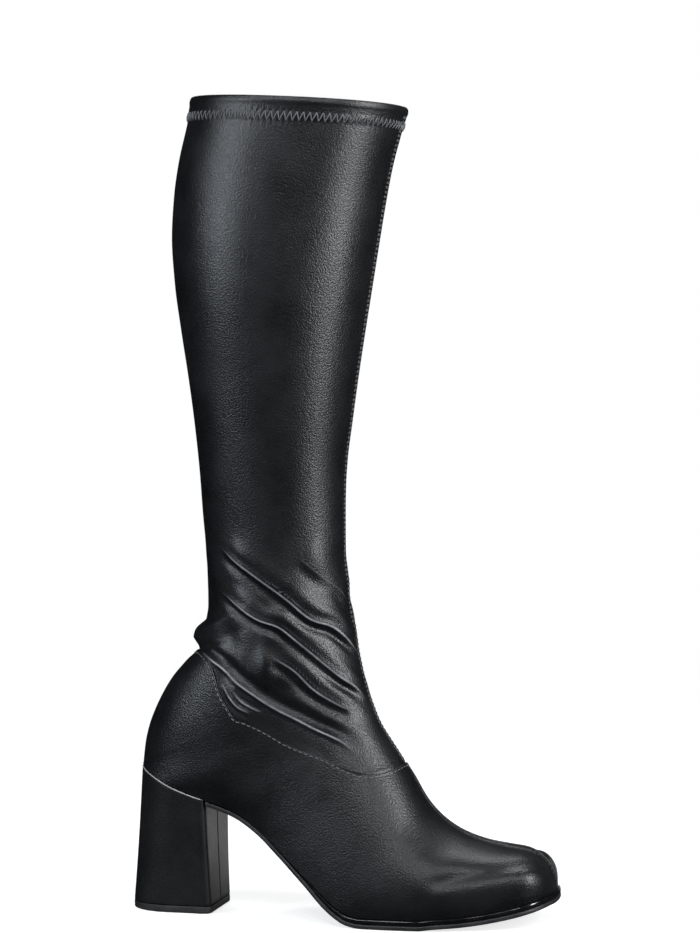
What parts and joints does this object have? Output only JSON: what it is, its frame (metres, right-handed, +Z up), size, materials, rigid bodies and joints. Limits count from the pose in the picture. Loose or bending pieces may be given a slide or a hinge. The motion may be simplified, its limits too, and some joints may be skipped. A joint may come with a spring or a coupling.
{
  "type": "go go boot",
  "caption": "Knee-high pull-on boot in black stretch faux leather with a soft square toe, covered block heel and thin two-layer forefoot sole",
  "frame": {"origin": "centre of the heel tip's underside, on the floor", "axes": "+X runs from the heel to the toe, +Y to the inner side of the foot, +Z up the shaft"},
  "size_m": [0.2478, 0.102, 0.4645],
  "materials": {
    "upper": "satin fine-grained stretch faux leather",
    "insole": "matt sock lining",
    "outsole": "satin black rubber",
    "midsole": "glossy black edge",
    "heel": "smooth satin cover over a moulded block",
    "heel_tip": "matt black rubber"
  },
  "bodies": {
    "root": {"upper": "upper", "insole": "insole", "outsole": "outsole", "midsole": "midsole", "heel": "heel", "heel_tip": "heel_tip"}
  },
  "joints": []
}
